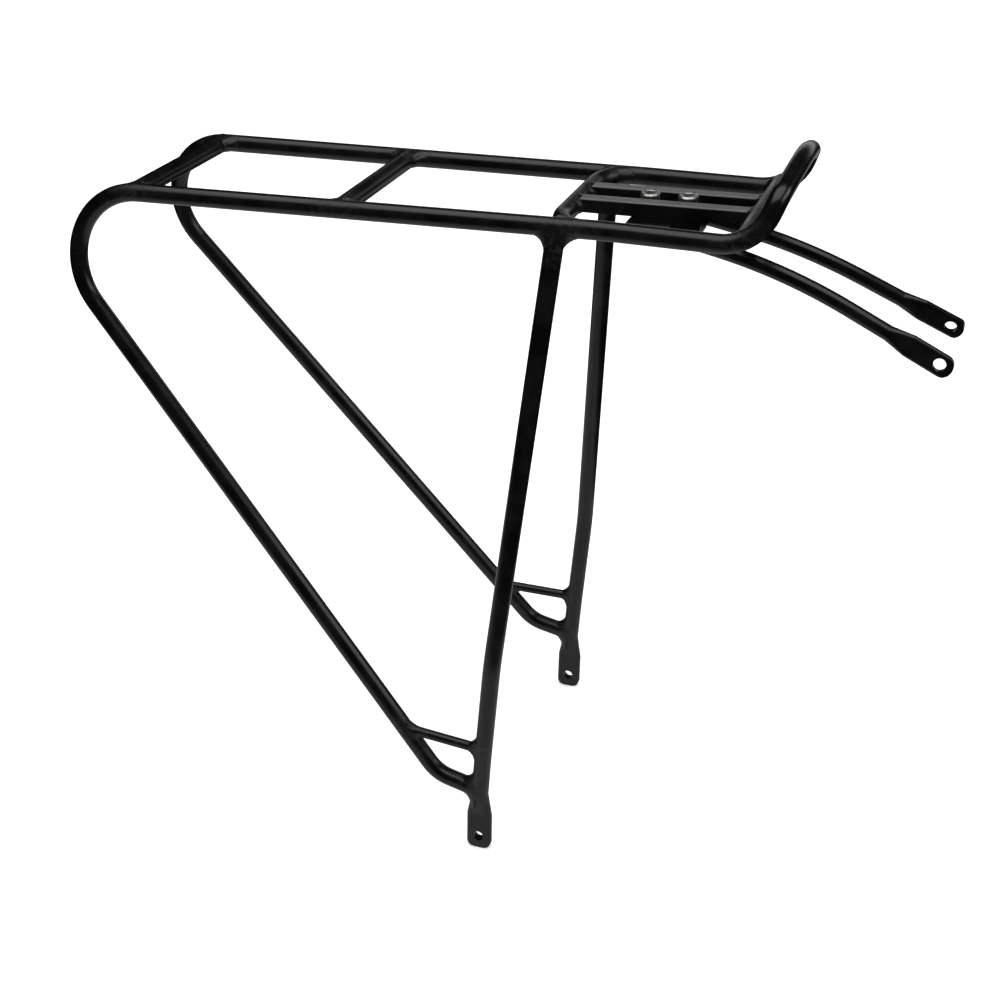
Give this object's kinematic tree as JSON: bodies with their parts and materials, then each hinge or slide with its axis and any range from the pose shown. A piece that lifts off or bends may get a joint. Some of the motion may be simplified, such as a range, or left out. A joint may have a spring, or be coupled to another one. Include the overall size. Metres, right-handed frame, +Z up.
{
  "type": "bicycle rear carrier",
  "caption": "Welded tubular bicycle rear carrier with a bent front hoop, drilled feet and a sliding slot clamp that holds two swinging front stays.",
  "frame": {"origin": "midway between the two drilled feet, on the line through both foot holes", "axes": "+X to the front of the bicycle, +Y to its left side, +Z up; the carrier is mirrored about the XZ plane"},
  "size_m": [0.4784, 0.186, 0.4047],
  "materials": {
    "powder_coat": "satin",
    "stainless_steel": "satin"
  },
  "bodies": {
    "carrier": {"loop_tube": "powder_coat", "left_front_leg": "powder_coat", "right_front_leg": "powder_coat", "left_leg_brace": "powder_coat", "right_leg_brace": "powder_coat", "rear_cross_tube": "powder_coat", "middle_cross_tube": "powder_coat", "bowed_cross_tube": "powder_coat", "front_cross_tube": "powder_coat", "left_slot_bar": "powder_coat", "right_slot_bar": "powder_coat"},
    "clamp": {"clamp_upper_jaw": "powder_coat", "clamp_lower_jaw": "powder_coat", "clamp_screws": "stainless_steel", "clamp_washers": "stainless_steel", "clamp_nuts": "stainless_steel"},
    "left_stay": {"left_stay": "powder_coat"},
    "right_stay": {"right_stay": "powder_coat"}
  },
  "joints": [
    {"name": "clamp_slide", "type": "slide", "parent": "carrier", "child": "clamp", "axis": [1, 0, 0], "range_m": [-0.02, 0.022]},
    {"name": "left_stay_turn", "type": "hinge", "parent": "clamp", "child": "left_stay", "pos_m": [0.078, 0.019, 0.3516], "axis": [1, 0, 0], "range_deg": [-12, 20]},
    {"name": "right_stay_turn", "type": "hinge", "parent": "clamp", "child": "right_stay", "pos_m": [0.078, -0.019, 0.3516], "axis": [-1, 0, 0], "range_deg": [-12, 20]}
  ]
}
